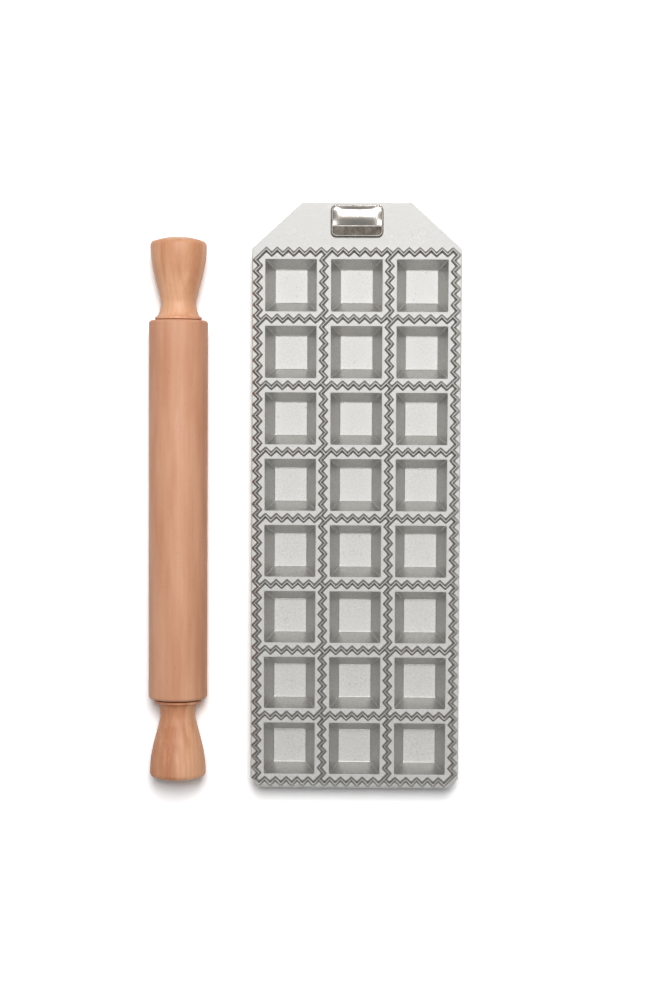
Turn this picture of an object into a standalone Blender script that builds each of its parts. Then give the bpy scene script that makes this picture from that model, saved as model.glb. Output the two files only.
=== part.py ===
"""Ravioli mould with its revolving rolling pin.

A cast aluminium tray has 24 square pockets inside a network of zigzag cutting ridges, stands on
four screwed rubber feet and carries a bare badge plate. The pin lies beside it: a bored beech
barrel on two nylon bushes, a steel axle, and a turned handle on each end of the axle.
X runs across the tray, +Y towards the badge end and +Z up. The origin is on the table, under the
middle of the whole set.
"""

import math

import bmesh
import bpy
from mathutils import Matrix, Vector

MM = 0.001

# Clearance between pieces that touch
FIT_GAP = 0.3 * MM

# Tray plan
COLUMNS = 3
ROWS = 8
COLUMN_PITCH = 35.6 * MM      # between ridge lines, across the tray
ROW_PITCH = 36 * MM           # between ridge lines, along the tray
SIDE_MARGIN = 3.35 * MM       # outer ridge line to the long edge
TAIL_MARGIN = 3.4 * MM        # last ridge line to the plain end
HEAD_LENGTH = 26.6 * MM       # first ridge line to the badge end
HEAD_WIDTH = 59.2 * MM        # what the slanted shoulders leave of the badge end
SHOULDER_LENGTH = 24.8 * MM
TAIL_CORNER = 5.3 * MM

# Tray section
CASTING_HEIGHT = 15 * MM
PLATE_THICKNESS = 3 * MM
SKIRT_WALL = 2.4 * MM
RIM_ROUND = 0.6 * MM
RIB_WIDTH = 2 * MM
RIB_DEPTH = 5 * MM

# Pockets
LAND_WIDTH = 3.9 * MM         # ridge line to the mouth of a pocket
POCKET_DEPTH = 10 * MM
POCKET_WALL_RUN = 5 * MM      # how far a wall leans in on its way down
CUP_WALL = 2.2 * MM
CUP_FLOOR = 2 * MM

# Cutting ridges
TEETH_PER_SIDE = 6
RIDGE_HEIGHT = 1.8 * MM
RIDGE_BASE = 2.6 * MM
RIDGE_CREST = 0.5 * MM
RIDGE_ROOT = 1 * MM           # depth to which the raised field sinks into the plate

# Feet and their screws
FOOT_BOSS_DIAMETER = 12 * MM
FOOT_BOSS_BITE = 0.3 * MM     # overlap of a boss with the skirt
FOOT_BOSS_RECESS = 0.5 * MM   # boss end above the skirt's lower edge
FOOT_STAND = 4 * MM           # skirt's lower edge above the table
FOOT_DIAMETER = 10 * MM
FOOT_ROUND = 0.6 * MM
HEAD_FOOT_INSET = 21 * MM     # long edge to the feet by the shoulders
HEAD_FOOT_SETBACK = 18 * MM   # badge end to the nearer feet
SCREW_DIAMETER = 2.8 * MM
SCREW_LENGTH = 9 * MM
SCREW_HEAD_DIAMETER = 5 * MM
SCREW_HEAD_HEIGHT = 1.5 * MM
SCREW_HEAD_COVER = 0.7 * MM   # head below the foot's underside
SCREW_TIP = 1 * MM

# Badge
BADGE_WIDTH = 28.4 * MM
BADGE_LENGTH = 17.2 * MM
BADGE_THICKNESS = 1.5 * MM
BADGE_CORNER = 3 * MM
BADGE_RIM = 1.3 * MM
BADGE_RECESS = 0.5 * MM
BADGE_SETBACK = 10 * MM       # badge end to the middle of the badge
STUD_DIAMETER = 2 * MM
STUD_SPACING = 18 * MM
STUD_END = 1.2 * MM           # stud beyond its push nut
NUT_DIAMETER = 7 * MM
NUT_THICKNESS = 0.6 * MM

# Rolling pin
BARREL_DIAMETER = 32 * MM
BARREL_LENGTH = 206.2 * MM
BARREL_ROUND = 1.8 * MM
ROLLER_TO_TRAY = 24 * MM      # barrel's side to the tray's long edge
ROLLER_SHIFT = -7.8 * MM      # middle of the pin, along Y, from the middle of the tray
HANDLE_CLEARANCE = 0.6 * MM   # barrel's end to the handle's collar
AXLE_DIAMETER = 6 * MM
AXLE_GRIP = 26 * MM           # axle inside each handle
AXLE_CHAMFER = 0.6 * MM
BUSH_WALL = 2.4 * MM
BUSH_LENGTH = 12 * MM
FLANGE_DIAMETER = 16 * MM
FLANGE_THICKNESS = 1.2 * MM
HANDLE_LENGTH = 44.1 * MM
COLLAR_DIAMETER = 25.5 * MM
COLLAR_WIDTH = 1.8 * MM
COLLAR_ROUND = 0.5 * MM
NECK_DIAMETER = 19.2 * MM
NECK_PLACE = 9.4 * MM         # collar's face to the thinnest place
GRIP_DIAMETER = 30.6 * MM
GRIP_PLACE = 40.1 * MM        # collar's face to the thickest place
GRIP_FULLNESS = 1.2
GRIP_DOME = 0.6 * MM

BARREL_STEPS = 36
HANDLE_STEPS = 32
SMALL_STEPS = 16
SMOOTH_ANGLE = math.radians(35)
MERGE_DISTANCE = 0.01 * MM
CUT_PAST = 1 * MM             # how far a cutter reaches past the face it opens

# Levels, from the table up
SKIRT_LOW = FOOT_STAND
PLATE_TOP = FOOT_STAND + CASTING_HEIGHT
PLATE_LOW = PLATE_TOP - PLATE_THICKNESS
BOSS_LOW = SKIRT_LOW + FOOT_BOSS_RECESS
FOOT_TOP = BOSS_LOW - FIT_GAP

# Plan of the tray about its own middle
HALF_WIDTH = COLUMNS * COLUMN_PITCH / 2 + SIDE_MARGIN
TRAY_LENGTH = ROWS * ROW_PITCH + TAIL_MARGIN + HEAD_LENGTH
HEAD_Y = TRAY_LENGTH / 2
TAIL_Y = -TRAY_LENGTH / 2
FIRST_ROW_Y = HEAD_Y - HEAD_LENGTH
STEP_X = COLUMN_PITCH / (2 * TEETH_PER_SIDE)
STEP_Y = ROW_PITCH / (2 * TEETH_PER_SIDE)

# The origin is halfway between the pin's far side and the tray's
BARREL_RADIUS = BARREL_DIAMETER / 2
SET_WIDTH = BARREL_DIAMETER + ROLLER_TO_TRAY + 2 * HALF_WIDTH
TRAY_X = SET_WIDTH / 2 - HALF_WIDTH
ROLLER_X = BARREL_RADIUS - SET_WIDTH / 2


def clear_scene():
    for obj in list(bpy.data.objects):
        bpy.data.objects.remove(obj)
    for collection in list(bpy.data.collections):
        bpy.data.collections.remove(collection)


def new_collection(name, shown):
    collection = bpy.data.collections.new(name)
    collection.hide_render = not shown
    bpy.context.scene.collection.children.link(collection)
    return collection


def new_material(name, colour, roughness, metallic):
    material = bpy.data.materials.new(name)
    material.use_nodes = True
    shader = material.node_tree.nodes["Principled BSDF"]
    shader.inputs["Base Color"].default_value = (*colour, 1)
    shader.inputs["Roughness"].default_value = roughness
    shader.inputs["Metallic"].default_value = metallic
    return material


clear_scene()
parts = new_collection("ravioli_mould", shown=True)
cutters = new_collection("cutters", shown=False)


def add_object(name, mesh, collection=parts):
    obj = bpy.data.objects.new(name, mesh)
    collection.objects.link(obj)
    if collection is cutters:
        obj.hide_render = True
        obj.display_type = "WIRE"
    return obj


def mesh_of(name, bm):
    bmesh.ops.recalc_face_normals(bm, faces=bm.faces)
    mesh = bpy.data.meshes.new(name)
    bm.to_mesh(mesh)
    bm.free()
    return mesh


def smooth(mesh):
    mesh.shade_smooth()
    mesh.set_sharp_from_angle(angle=SMOOTH_ANGLE)


def combine(obj, other, operation):
    modifier = obj.modifiers.new(f"{operation.lower()} {other.name}", "BOOLEAN")
    modifier.operation = operation
    modifier.solver = "EXACT"
    modifier.object = other


def extruded(name, outline, low, high, collection=cutters):
    """A flat outline as a 2D curve, extruded between two heights and made a mesh."""
    curve = bpy.data.curves.new(name, "CURVE")
    curve.dimensions = "2D"
    curve.fill_mode = "BOTH"
    curve.extrude = (high - low) / 2
    spline = curve.splines.new("POLY")
    spline.points.add(len(outline) - 1)
    for point, (x, y) in zip(spline.points, outline):
        point.co = (x, y, 0, 1)
    spline.use_cyclic_u = True
    guide = add_object(f"{name}_outline", curve, collection)
    guide.location.z = (high + low) / 2
    bpy.context.view_layer.update()
    graph = bpy.context.evaluated_depsgraph_get()
    mesh = bpy.data.meshes.new_from_object(guide.evaluated_get(graph))
    bm = bmesh.new()
    bm.from_mesh(mesh)
    bmesh.ops.remove_doubles(bm, verts=bm.verts, dist=MERGE_DISTANCE)
    bmesh.ops.dissolve_limit(bm, angle_limit=math.radians(0.1), verts=bm.verts, edges=bm.edges)
    bmesh.ops.transform(bm, matrix=guide.matrix_world, verts=bm.verts)
    bpy.data.objects.remove(guide)
    bpy.data.meshes.remove(mesh)
    return add_object(name, mesh_of(name, bm), collection)


def turned(name, profile, steps, collection=parts):
    """A profile of (radius, height) points, top to bottom down its outer side, turned about Z."""
    mesh = bpy.data.meshes.new(name)
    bm = bmesh.new()
    verts = [bm.verts.new((radius, 0, height)) for radius, height in profile]
    for start, end in zip(verts, verts[1:]):
        bm.edges.new((start, end))
    if profile[0][0] > 0:
        bm.edges.new((verts[-1], verts[0]))
    bm.to_mesh(mesh)
    bm.free()
    obj = add_object(name, mesh, collection)
    screw = obj.modifiers.new("turn", "SCREW")
    screw.axis = "Z"
    screw.steps = steps
    screw.render_steps = steps
    screw.use_merge_vertices = True
    screw.merge_threshold = MERGE_DISTANCE
    bpy.context.view_layer.update()
    graph = bpy.context.evaluated_depsgraph_get()
    obj.data = bpy.data.meshes.new_from_object(obj.evaluated_get(graph))
    obj.modifiers.clear()
    bpy.data.meshes.remove(mesh)
    smooth(obj.data)
    return obj


def arc(centre, radius, start, end, segments):
    """Points on an arc in the profile plane; angles in degrees, 0 outwards and 90 up."""
    points = []
    for k in range(segments + 1):
        angle = math.radians(start + (end - start) * k / segments)
        points.append((centre[0] + radius * math.cos(angle), centre[1] + radius * math.sin(angle)))
    return points


# Ridge network
# Node (i, j) is where ridge lines i (left to right) and j (badge end to plain end) meet.

def node_place(i, j):
    return TRAY_X + (i - COLUMNS / 2) * COLUMN_PITCH, FIRST_ROW_Y - j * ROW_PITCH


def row_ridge(i, j):
    """The zigzag from node (i, j) across to node (i + 1, j)."""
    x, y = node_place(i, j)
    return [
        Vector((x + (k + 0.5) * STEP_X, y + (k % 2 - 0.5) * STEP_Y))
        for k in range(2 * TEETH_PER_SIDE)
    ]


def column_ridge(i, j):
    """The zigzag from node (i, j) down to node (i, j + 1)."""
    x, y = node_place(i, j)
    return [
        Vector((x - (k % 2 - 0.5) * STEP_X, y - (k + 0.5) * STEP_Y))
        for k in range(2 * TEETH_PER_SIDE)
    ]


def cell_loop(i, j):
    """The ridge lines round one pocket, clockwise from above."""
    loop = row_ridge(i, j) + column_ridge(i + 1, j)
    loop += row_ridge(i, j + 1)[-2::-1]
    loop += column_ridge(i, j)[:0:-1]
    return loop


def field_loop():
    """The outermost ridge lines, clockwise from above."""
    loop = []
    for i in range(COLUMNS):
        loop += row_ridge(i, 0)
    for j in range(ROWS):
        loop += column_ridge(COLUMNS, j)
    loop.pop()
    for i in reversed(range(COLUMNS)):
        loop += row_ridge(i, ROWS)[::-1]
    for j in reversed(range(ROWS)):
        loop += column_ridge(0, j)[::-1]
    loop.pop()
    return loop


def moved_in(loop, distance):
    """A clockwise loop moved to its inside by a distance, with mitred corners."""
    moved = []
    for k, point in enumerate(loop):
        before = (point - loop[k - 1]).normalized()
        after = (loop[(k + 1) % len(loop)] - point).normalized()
        inward_before = Vector((before.y, -before.x))
        inward_after = Vector((after.y, -after.x))
        mitre = (inward_before + inward_after) / (1 + inward_before.dot(inward_after))
        moved.append(point + mitre * distance)
    return moved


def loft(bm, sections):
    """A closed solid through loops of equally many points, each at its own height."""
    rings = [[bm.verts.new((*point, height)) for point in loop] for loop, height in sections]
    for lower, upper in zip(rings, rings[1:]):
        for k in range(len(lower)):
            bm.faces.new((lower[k - 1], lower[k], upper[k], upper[k - 1]))
    bm.faces.new(rings[0])
    bm.faces.new(rings[-1][::-1])


# Flank of a ridge: how far it leans out for each step down
FLANK_LEAN = (RIDGE_BASE - RIDGE_CREST) / 2 / RIDGE_HEIGHT


def half_width_at(height):
    """Half the ridge's width at a height over the plate."""
    return RIDGE_CREST / 2 + FLANK_LEAN * (RIDGE_HEIGHT - height)


def raised_field():
    """The block that the ridges are cut from, edged by the outermost zigzag."""
    bm = bmesh.new()
    loop = field_loop()
    foot = moved_in(loop, -half_width_at(0))
    crest = moved_in(loop, -half_width_at(RIDGE_HEIGHT))
    loft(bm, [(foot, PLATE_TOP - RIDGE_ROOT), (foot, PLATE_TOP), (crest, PLATE_TOP + RIDGE_HEIGHT)])
    return add_object("raised_field", mesh_of("raised_field", bm), cutters)


def cell_recesses():
    """What is cut away inside each zigzag loop, down to the land round the pocket."""
    bm = bmesh.new()
    for i in range(COLUMNS):
        for j in range(ROWS):
            loop = cell_loop(i, j)
            over = RIDGE_HEIGHT + RIDGE_CREST / 4 / FLANK_LEAN
            land = moved_in(loop, half_width_at(0))
            mouth = moved_in(loop, half_width_at(over))
            loft(bm, [(land, PLATE_TOP), (mouth, PLATE_TOP + over)])
    return add_object("cell_recesses", mesh_of("cell_recesses", bm), cutters)


def cell_tapers(name, low, high, wall):
    """A four-sided taper in every cell, between two heights, a wall's thickness outside its pocket."""
    bm = bmesh.new()
    for i in range(COLUMNS):
        for j in range(ROWS):
            x, y = node_place(i, j)
            sections = []
            for height in (low, high):
                edge = LAND_WIDTH - wall + POCKET_LEAN * (PLATE_TOP - height)
                left, right = x + edge, x + COLUMN_PITCH - edge
                near, far = y - ROW_PITCH + edge, y - edge
                sections.append(([(left, far), (right, far), (right, near), (left, near)], height))
            loft(bm, sections)
    return add_object(name, mesh_of(name, bm), cutters)


# How far a pocket's wall leans in for each step down
POCKET_LEAN = POCKET_WALL_RUN / POCKET_DEPTH


def pocket_cutters():
    return cell_tapers("pockets", PLATE_TOP - POCKET_DEPTH, PLATE_TOP + CUT_PAST, 0)


def cup_shells():
    """The outsides of the cups, from inside the plate down to their floors."""
    low = PLATE_TOP - POCKET_DEPTH - CUP_FLOOR
    return cell_tapers("cups", low, PLATE_TOP - PLATE_THICKNESS / 2, CUP_WALL)


# Tray outline

def tray_outline(inset):
    """The tray's eight-sided plan, clockwise from above, moved in by a wall's thickness."""
    right = [
        Vector((HEAD_WIDTH / 2, HEAD_Y)),
        Vector((HALF_WIDTH, HEAD_Y - SHOULDER_LENGTH)),
        Vector((HALF_WIDTH, TAIL_Y + TAIL_CORNER)),
        Vector((HALF_WIDTH - TAIL_CORNER, TAIL_Y)),
    ]
    left = [Vector((-point.x, point.y)) for point in reversed(right)]
    centre = Vector((TRAY_X, 0))
    return [centre + point for point in moved_in(right + left, inset)]


def hollow_above_ribs():
    """The upper part of the underside's hollow, divided by the ribs that stay between the cups."""
    x_left, y_first = node_place(0, 0)
    reach = HALF_WIDTH + HEAD_LENGTH
    inner_x = [x_left + i * COLUMN_PITCH for i in range(1, COLUMNS)]
    inner_y = [y_first - j * ROW_PITCH for j in range(ROWS)]
    xs = [TRAY_X - reach, *inner_x, TRAY_X + reach]
    ys = [HEAD_Y + reach, *inner_y, TAIL_Y - reach]
    low = PLATE_LOW - RIB_DEPTH
    bm = bmesh.new()
    for left, right in zip(xs, xs[1:]):
        for far, near in zip(ys, ys[1:]):
            size = Vector((right - left - RIB_WIDTH, far - near - RIB_WIDTH, PLATE_LOW - low))
            middle = Vector((left + right, far + near, PLATE_LOW + low)) / 2
            bmesh.ops.create_cube(bm, size=1, matrix=Matrix.Translation(middle) @ Matrix.Diagonal((*size, 1)))
    cells = add_object("hollow_above_ribs", mesh_of("hollow_above_ribs", bm), cutters)
    bounds = extruded("hollow_bounds", tray_outline(SKIRT_WALL), low - CUT_PAST, PLATE_LOW + CUT_PAST)
    combine(cells, bounds, "INTERSECT")
    return cells


def foot_places():
    """Where the four feet stand: two by the shoulders and one in each plain corner."""
    corner = SKIRT_WALL + FOOT_BOSS_DIAMETER / 2 - FOOT_BOSS_BITE
    head_x = HALF_WIDTH - HEAD_FOOT_INSET
    tail_x = HALF_WIDTH - corner
    return {
        "head_left": Vector((TRAY_X - head_x, HEAD_Y - HEAD_FOOT_SETBACK, 0)),
        "head_right": Vector((TRAY_X + head_x, HEAD_Y - HEAD_FOOT_SETBACK, 0)),
        "tail_left": Vector((TRAY_X - tail_x, TAIL_Y + corner, 0)),
        "tail_right": Vector((TRAY_X + tail_x, TAIL_Y + corner, 0)),
    }


def stud_places():
    y = HEAD_Y - BADGE_SETBACK
    return [Vector((TRAY_X + side * STUD_SPACING / 2, y, 0)) for side in (-1, 1)]


def rods(name, places, diameter, low, high):
    """Upright round rods in one helper object."""
    bm = bmesh.new()
    for place in places:
        bmesh.ops.create_cone(
            bm,
            cap_ends=True,
            segments=SMALL_STEPS,
            radius1=diameter / 2,
            radius2=diameter / 2,
            depth=high - low,
            matrix=Matrix.Translation(place + Vector((0, 0, (low + high) / 2))),
        )
    return add_object(name, mesh_of(name, bm), cutters)


def round_upper_edges(obj, height, width):
    bm = bmesh.new()
    bm.from_mesh(obj.data)
    rim = [edge for edge in bm.edges if all(abs(v.co.z - height) < MERGE_DISTANCE for v in edge.verts)]
    bmesh.ops.bevel(bm, geom=rim, offset=width, segments=2, profile=0.5, affect="EDGES", material=-1)
    bm.to_mesh(obj.data)
    bm.free()


def build_tray():
    tray = extruded("mould_tray", tray_outline(0), SKIRT_LOW, PLATE_TOP, parts)
    round_upper_edges(tray, PLATE_TOP, RIM_ROUND)
    rib_low = PLATE_LOW - RIB_DEPTH
    hollow = extruded("hollow", tray_outline(SKIRT_WALL), SKIRT_LOW - CUT_PAST, rib_low)
    combine(tray, hollow, "DIFFERENCE")
    combine(tray, hollow_above_ribs(), "DIFFERENCE")
    combine(tray, cup_shells(), "UNION")
    boss_high = PLATE_TOP - PLATE_THICKNESS / 2
    feet = foot_places().values()
    combine(tray, rods("foot_bosses", feet, FOOT_BOSS_DIAMETER, BOSS_LOW, boss_high), "UNION")
    combine(tray, raised_field(), "UNION")
    combine(tray, cell_recesses(), "DIFFERENCE")
    combine(tray, pocket_cutters(), "DIFFERENCE")
    pilot_high = BOSS_LOW + SCREW_LENGTH
    pilot = SCREW_DIAMETER + 2 * FIT_GAP
    combine(tray, rods("screw_holes", feet, pilot, BOSS_LOW - CUT_PAST, pilot_high), "DIFFERENCE")
    stud_hole = STUD_DIAMETER + 2 * FIT_GAP
    holes = rods("stud_holes", stud_places(), stud_hole, PLATE_LOW - CUT_PAST, PLATE_TOP + CUT_PAST)
    combine(tray, holes, "DIFFERENCE")
    tray.data.materials.append(new_material("cast_aluminium", (0.74, 0.73, 0.70), 0.42, 0.9))


def build_badge():
    """A bare plate with a raised rim and two studs."""
    low = PLATE_TOP + FIT_GAP
    bm = bmesh.new()
    bmesh.ops.create_grid(bm, x_segments=1, y_segments=1, size=0.5)
    place = Matrix.Translation((TRAY_X, HEAD_Y - BADGE_SETBACK, low))
    bmesh.ops.transform(bm, matrix=place @ Matrix.Diagonal((BADGE_WIDTH, BADGE_LENGTH, 1, 1)), verts=bm.verts)
    bmesh.ops.bevel(bm, geom=bm.verts, offset=BADGE_CORNER, segments=4, profile=0.5, affect="VERTICES", material=-1)
    rise = bmesh.ops.extrude_face_region(bm, geom=bm.faces)["geom"]
    lifted = [item for item in rise if isinstance(item, bmesh.types.BMVert)]
    bmesh.ops.translate(bm, vec=(0, 0, BADGE_THICKNESS), verts=lifted)
    top = [item for item in rise if isinstance(item, bmesh.types.BMFace)]
    bmesh.ops.recalc_face_normals(bm, faces=bm.faces)
    bmesh.ops.inset_individual(bm, faces=top, thickness=BADGE_RIM, use_even_offset=True)
    bmesh.ops.inset_individual(bm, faces=top, thickness=BADGE_RECESS, depth=-BADGE_RECESS, use_even_offset=True)
    badge = add_object("badge_plate", mesh_of("badge_plate", bm))
    smooth(badge.data)
    stud_low = PLATE_LOW - FIT_GAP - NUT_THICKNESS - STUD_END
    combine(badge, rods("studs", stud_places(), STUD_DIAMETER, stud_low, low + BADGE_THICKNESS / 4), "UNION")
    badge.data.materials.append(new_material("nickel_plate", (0.62, 0.60, 0.57), 0.2, 1.0))


def build_push_nuts():
    """The pressed rings that hold the badge's studs under the plate."""
    bore = STUD_DIAMETER / 2 + FIT_GAP
    top = PLATE_LOW - FIT_GAP
    rim = NUT_DIAMETER / 2
    profile = [(bore, top), (rim, top), (rim, top - NUT_THICKNESS), (bore, top - NUT_THICKNESS)]
    steel = new_material("spring_steel", (0.32, 0.33, 0.34), 0.35, 1.0)
    for name, place in zip(("badge_nut_left", "badge_nut_right"), stud_places()):
        nut = turned(name, profile, SMALL_STEPS)
        nut.location = place
        nut.data.materials.append(steel)


def foot_profile():
    """A rubber button with a screw hole and a counterbore for the screw's head."""
    hole = SCREW_DIAMETER / 2 + FIT_GAP
    counterbore = SCREW_HEAD_DIAMETER / 2 + FIT_GAP
    seat = SCREW_HEAD_COVER + SCREW_HEAD_HEIGHT + FIT_GAP
    radius = FOOT_DIAMETER / 2
    inner = radius - FOOT_ROUND
    profile = [(hole, FOOT_TOP), (radius, FOOT_TOP)]
    profile += arc((inner, FOOT_ROUND), FOOT_ROUND, 0, -90, 2)
    profile += [(counterbore, 0), (counterbore, seat), (hole, seat)]
    return profile


def screw_profile():
    """A domed head under a plain shank with a short point."""
    shank = SCREW_DIAMETER / 2
    head = SCREW_HEAD_DIAMETER / 2
    head_top = SCREW_HEAD_COVER + SCREW_HEAD_HEIGHT
    edge = SCREW_HEAD_HEIGHT / 2
    tip = BOSS_LOW + SCREW_LENGTH - FIT_GAP
    profile = [(0, tip), (shank / 3, tip), (shank, tip - SCREW_TIP), (shank, head_top)]
    profile += [(head, head_top), (head, head_top - edge), (head - edge, SCREW_HEAD_COVER), (0, SCREW_HEAD_COVER)]
    return profile


def build_feet():
    rubber = new_material("black_rubber", (0.03, 0.03, 0.03), 0.7, 0.0)
    zinc = new_material("zinc_plated_steel", (0.55, 0.55, 0.56), 0.35, 1.0)
    for name, place in foot_places().items():
        foot = turned(f"foot_{name}", foot_profile(), SMALL_STEPS)
        foot.location = place
        foot.data.materials.append(rubber)
        screw = turned(f"foot_screw_{name}", screw_profile(), SMALL_STEPS)
        screw.location = place
        screw.data.materials.append(zinc)


# Rolling pin: turned shapes have their own Z along the pin, away from its middle

def barrel_profile():
    """The bored barrel, with a stepped seat for a bush in each end."""
    half = BARREL_LENGTH / 2
    radius = BARREL_RADIUS
    bore = AXLE_DIAMETER / 2 + 2 * FIT_GAP
    seat = AXLE_DIAMETER / 2 + BUSH_WALL + 2 * FIT_GAP
    flange = FLANGE_DIAMETER / 2 + FIT_GAP
    flange_depth = half - FLANGE_THICKNESS
    seat_depth = half - BUSH_LENGTH - FIT_GAP
    centre = radius - BARREL_ROUND
    profile = [(bore, seat_depth), (seat, seat_depth), (seat, flange_depth), (flange, flange_depth)]
    profile += [(flange, half)]
    profile += arc((centre, half - BARREL_ROUND), BARREL_ROUND, 90, 0, 3)
    profile += [(r, -z) for r, z in reversed(profile)]
    return profile


def bush_profile():
    """A flanged bush; its flange stands a fit's gap out of the barrel."""
    bore = AXLE_DIAMETER / 2 + FIT_GAP
    body = bore + BUSH_WALL
    face = BARREL_LENGTH / 2 + FIT_GAP
    under = face - FLANGE_THICKNESS
    flange = FLANGE_DIAMETER / 2
    inner = BARREL_LENGTH / 2 - BUSH_LENGTH
    return [(bore, face), (flange, face), (flange, under), (body, under), (body, inner), (bore, inner)]


def axle_profile():
    end = BARREL_LENGTH / 2 + HANDLE_CLEARANCE + AXLE_GRIP
    radius = AXLE_DIAMETER / 2
    half = [(0, end), (radius - AXLE_CHAMFER, end), (radius, end - AXLE_CHAMFER)]
    return half + [(r, -z) for r, z in reversed(half)]


def handle_profile():
    """Domed end, swelling grip, thin neck, cove and collar, with a blind hole for the axle."""
    face = BARREL_LENGTH / 2 + HANDLE_CLEARANCE
    grip = GRIP_DIAMETER / 2
    neck = NECK_DIAMETER / 2
    collar = COLLAR_DIAMETER / 2
    end_round = HANDLE_LENGTH - GRIP_PLACE - GRIP_DOME
    end_centre = (grip - end_round, face + GRIP_PLACE)
    profile = [(0, face + HANDLE_LENGTH)]
    profile += arc(end_centre, end_round, 90, 0, 4)
    steps = 7
    for k in range(1, steps + 1):
        share = 1 - k / steps
        swell = math.sin(math.pi / 2 * share) ** GRIP_FULLNESS
        along = NECK_PLACE + (GRIP_PLACE - NECK_PLACE) * share
        profile.append((neck + (grip - neck) * swell, face + along))
    steps = 3
    for k in range(1, steps + 1):
        share = k / steps
        along = NECK_PLACE + (COLLAR_WIDTH - NECK_PLACE) * math.sin(math.pi / 2 * share)
        profile.append((collar + (neck - collar) * math.cos(math.pi / 2 * share), face + along))
    profile += arc((collar - COLLAR_ROUND, face + COLLAR_ROUND), COLLAR_ROUND, 0, -90, 1)
    bore = AXLE_DIAMETER / 2 + FIT_GAP
    depth = face + AXLE_GRIP + FIT_GAP
    profile += [(bore, face), (bore, depth), (0, depth)]
    return profile


def build_roller():
    axis = bpy.data.objects.new("roller_axis", None)
    parts.objects.link(axis)
    axis.location = (ROLLER_X, ROLLER_SHIFT, BARREL_RADIUS)
    beech = new_material("beech", (0.66, 0.35, 0.21), 0.55, 0.0)
    handle_beech = new_material("handle_beech", (0.69, 0.36, 0.18), 0.45, 0.0)
    nylon = new_material("white_nylon", (0.8, 0.79, 0.75), 0.4, 0.0)
    steel = new_material("bright_steel", (0.56, 0.56, 0.57), 0.3, 1.0)
    to_head = math.radians(-90)
    to_tail = math.radians(90)
    pieces = [
        ("roller_barrel", barrel_profile(), BARREL_STEPS, to_head, beech),
        ("roller_axle", axle_profile(), SMALL_STEPS, to_head, steel),
        ("roller_bush_head", bush_profile(), SMALL_STEPS, to_head, nylon),
        ("roller_bush_tail", bush_profile(), SMALL_STEPS, to_tail, nylon),
        ("roller_handle_head", handle_profile(), HANDLE_STEPS, to_head, handle_beech),
        ("roller_handle_tail", handle_profile(), HANDLE_STEPS, to_tail, handle_beech),
    ]
    for name, profile, steps, turn, material in pieces:
        piece = turned(name, profile, steps)
        piece.parent = axis
        piece.rotation_euler.x = turn
        piece.data.materials.append(material)


build_tray()
build_badge()
build_push_nuts()
build_feet()
build_roller()
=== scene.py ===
import math

import bmesh
import bpy
from mathutils import Matrix, Vector


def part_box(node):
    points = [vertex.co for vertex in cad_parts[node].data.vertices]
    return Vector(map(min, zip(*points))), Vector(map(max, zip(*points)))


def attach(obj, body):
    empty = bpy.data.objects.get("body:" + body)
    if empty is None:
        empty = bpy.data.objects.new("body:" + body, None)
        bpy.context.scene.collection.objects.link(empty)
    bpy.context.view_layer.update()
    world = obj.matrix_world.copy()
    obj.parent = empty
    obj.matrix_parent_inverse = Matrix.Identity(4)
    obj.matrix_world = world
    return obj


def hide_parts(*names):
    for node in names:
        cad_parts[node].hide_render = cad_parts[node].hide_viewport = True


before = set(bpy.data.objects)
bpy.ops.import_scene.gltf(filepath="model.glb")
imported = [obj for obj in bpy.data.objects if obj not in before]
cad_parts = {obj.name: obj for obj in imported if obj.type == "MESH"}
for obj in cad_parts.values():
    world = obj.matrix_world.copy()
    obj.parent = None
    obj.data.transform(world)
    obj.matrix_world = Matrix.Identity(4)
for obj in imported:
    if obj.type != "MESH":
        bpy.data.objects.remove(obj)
for startupName in ("Cube", "Camera", "Light"):
    startupObject = bpy.data.objects.get(startupName)
    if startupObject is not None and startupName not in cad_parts:
        bpy.data.objects.remove(startupObject)

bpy.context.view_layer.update()  # the CAD model's box, before anything is dressed
mm = 0.001
weldDistance = 0.002 * mm
midSpan = (0.3, 0.7)  # where most values of a noise lie


# Small helpers that the pieces share

def linkObject(name, data):
    item = bpy.data.objects.new(name, data)
    bpy.context.scene.collection.objects.link(item)
    return item


def meshFrom(name, bm):
    mesh = bpy.data.meshes.new(name)
    bm.to_mesh(mesh)
    bm.free()
    return mesh


def meshPiece(name, bm, body, nodes, materials, smoothAngle=35):
    bmesh.ops.recalc_face_normals(bm, faces=bm.faces)
    for face in bm.faces:
        face.smooth = True
    for edge in bm.edges:
        edge.smooth = edge.is_manifold and edge.calc_face_angle() < math.radians(smoothAngle)
    piece = linkObject(name, meshFrom(name, bm))
    for material in materials:
        piece.data.materials.append(material)
    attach(piece, body)
    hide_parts(*nodes)
    return piece


def roundEdges(bm, edges, width, segments, clamp=True):
    bmesh.ops.bevel(
        bm,
        geom=edges,
        offset=width,
        offset_type="OFFSET",
        segments=segments,
        profile=0.5,
        affect="EDGES",
        material=-1,
        clamp_overlap=clamp,
    )


def faceUpwards(bm):
    bmesh.ops.recalc_face_normals(bm, faces=bm.faces)
    if sum(face.normal.z for face in bm.faces) < 0:
        bmesh.ops.reverse_faces(bm, faces=bm.faces)


def arcPoints(centre, radius, start, end, steps):
    points = []
    for k in range(steps + 1):
        angle = math.radians(start + (end - start) * k / steps)
        points.append((centre[0] + radius * math.cos(angle), centre[1] + radius * math.sin(angle)))
    return points


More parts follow.
